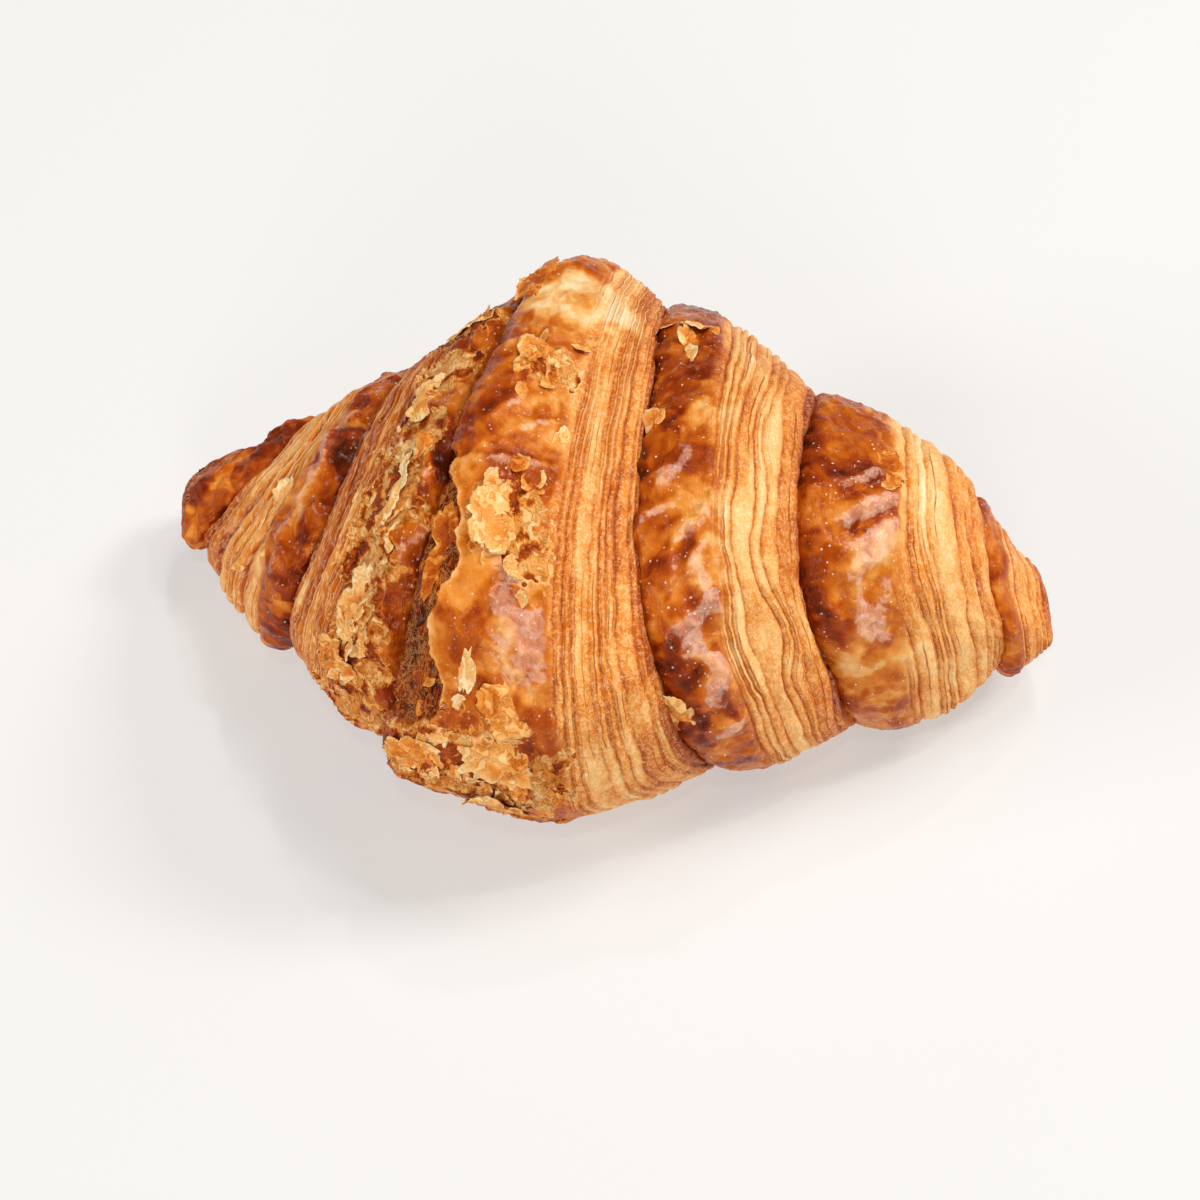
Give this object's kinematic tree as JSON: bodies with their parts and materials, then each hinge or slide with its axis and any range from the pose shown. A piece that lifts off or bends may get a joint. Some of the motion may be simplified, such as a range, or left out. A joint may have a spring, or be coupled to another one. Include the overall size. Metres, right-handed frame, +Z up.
{
  "type": "croissant",
  "caption": "Baked butter croissant, a crescent roll of overlapping flaky tiers with a glazed crust, lying on its flat underside.",
  "frame": {"origin": "middle of the bounding box at the flat underside, where the pastry rests", "axes": "+X from the left tip to the right tip, +Y towards the hollow side of the crescent, +Z up"},
  "size_m": [0.17, 0.1164, 0.0695],
  "materials": {
    "crust": "golden brown baked dough with an uneven egg glaze, darker on the swells and paler on the cut layers",
    "flakes": "thin dry flakes, pale cream to amber"
  },
  "bodies": {
    "root": {"croissant": "crust"}
  },
  "joints": []
}
